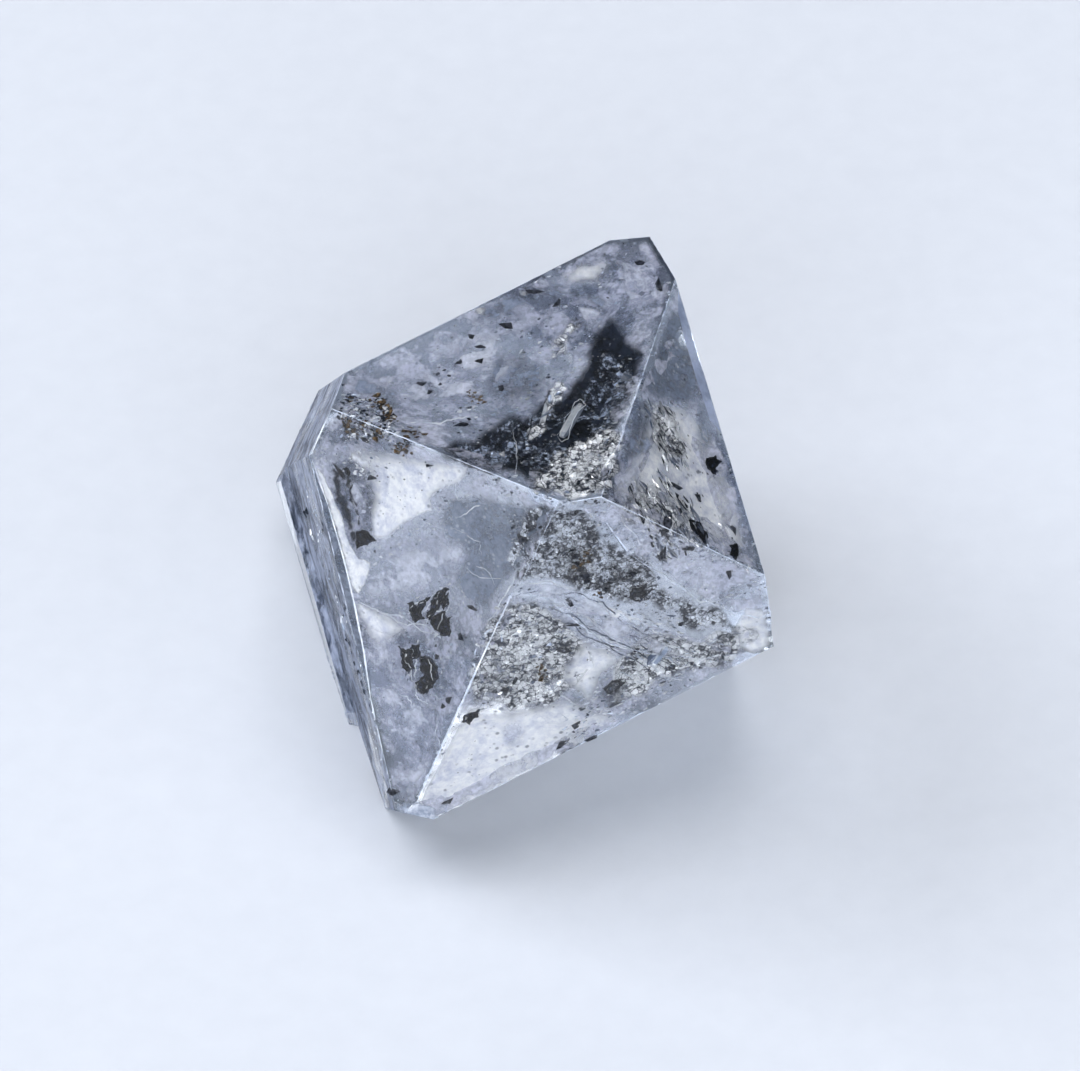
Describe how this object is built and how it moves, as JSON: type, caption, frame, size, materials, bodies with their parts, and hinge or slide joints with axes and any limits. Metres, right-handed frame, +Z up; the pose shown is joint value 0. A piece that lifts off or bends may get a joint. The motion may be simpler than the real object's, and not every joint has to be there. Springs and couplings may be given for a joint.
{
  "type": "quartz crystal",
  "caption": "Clear, doubly pointed quartz crystal that lies on one of its pyramid faces; a natural display or gem piece with growth ledges and worn tips",
  "frame": {"origin": "bottom centre of the crystal's bounding box, on the plane it rests on", "axes": "+Z up, away from the resting face; the crystal's long axis leans up at 38 degrees and heads 53 degrees from +X towards +Y; -Y is the side that shows the front faces"},
  "size_m": [0.0116, 0.0144, 0.0129],
  "materials": {
    "quartz": "clear natural quartz with polished growth faces"
  },
  "bodies": {
    "root": {"crystal": "quartz"}
  },
  "joints": []
}
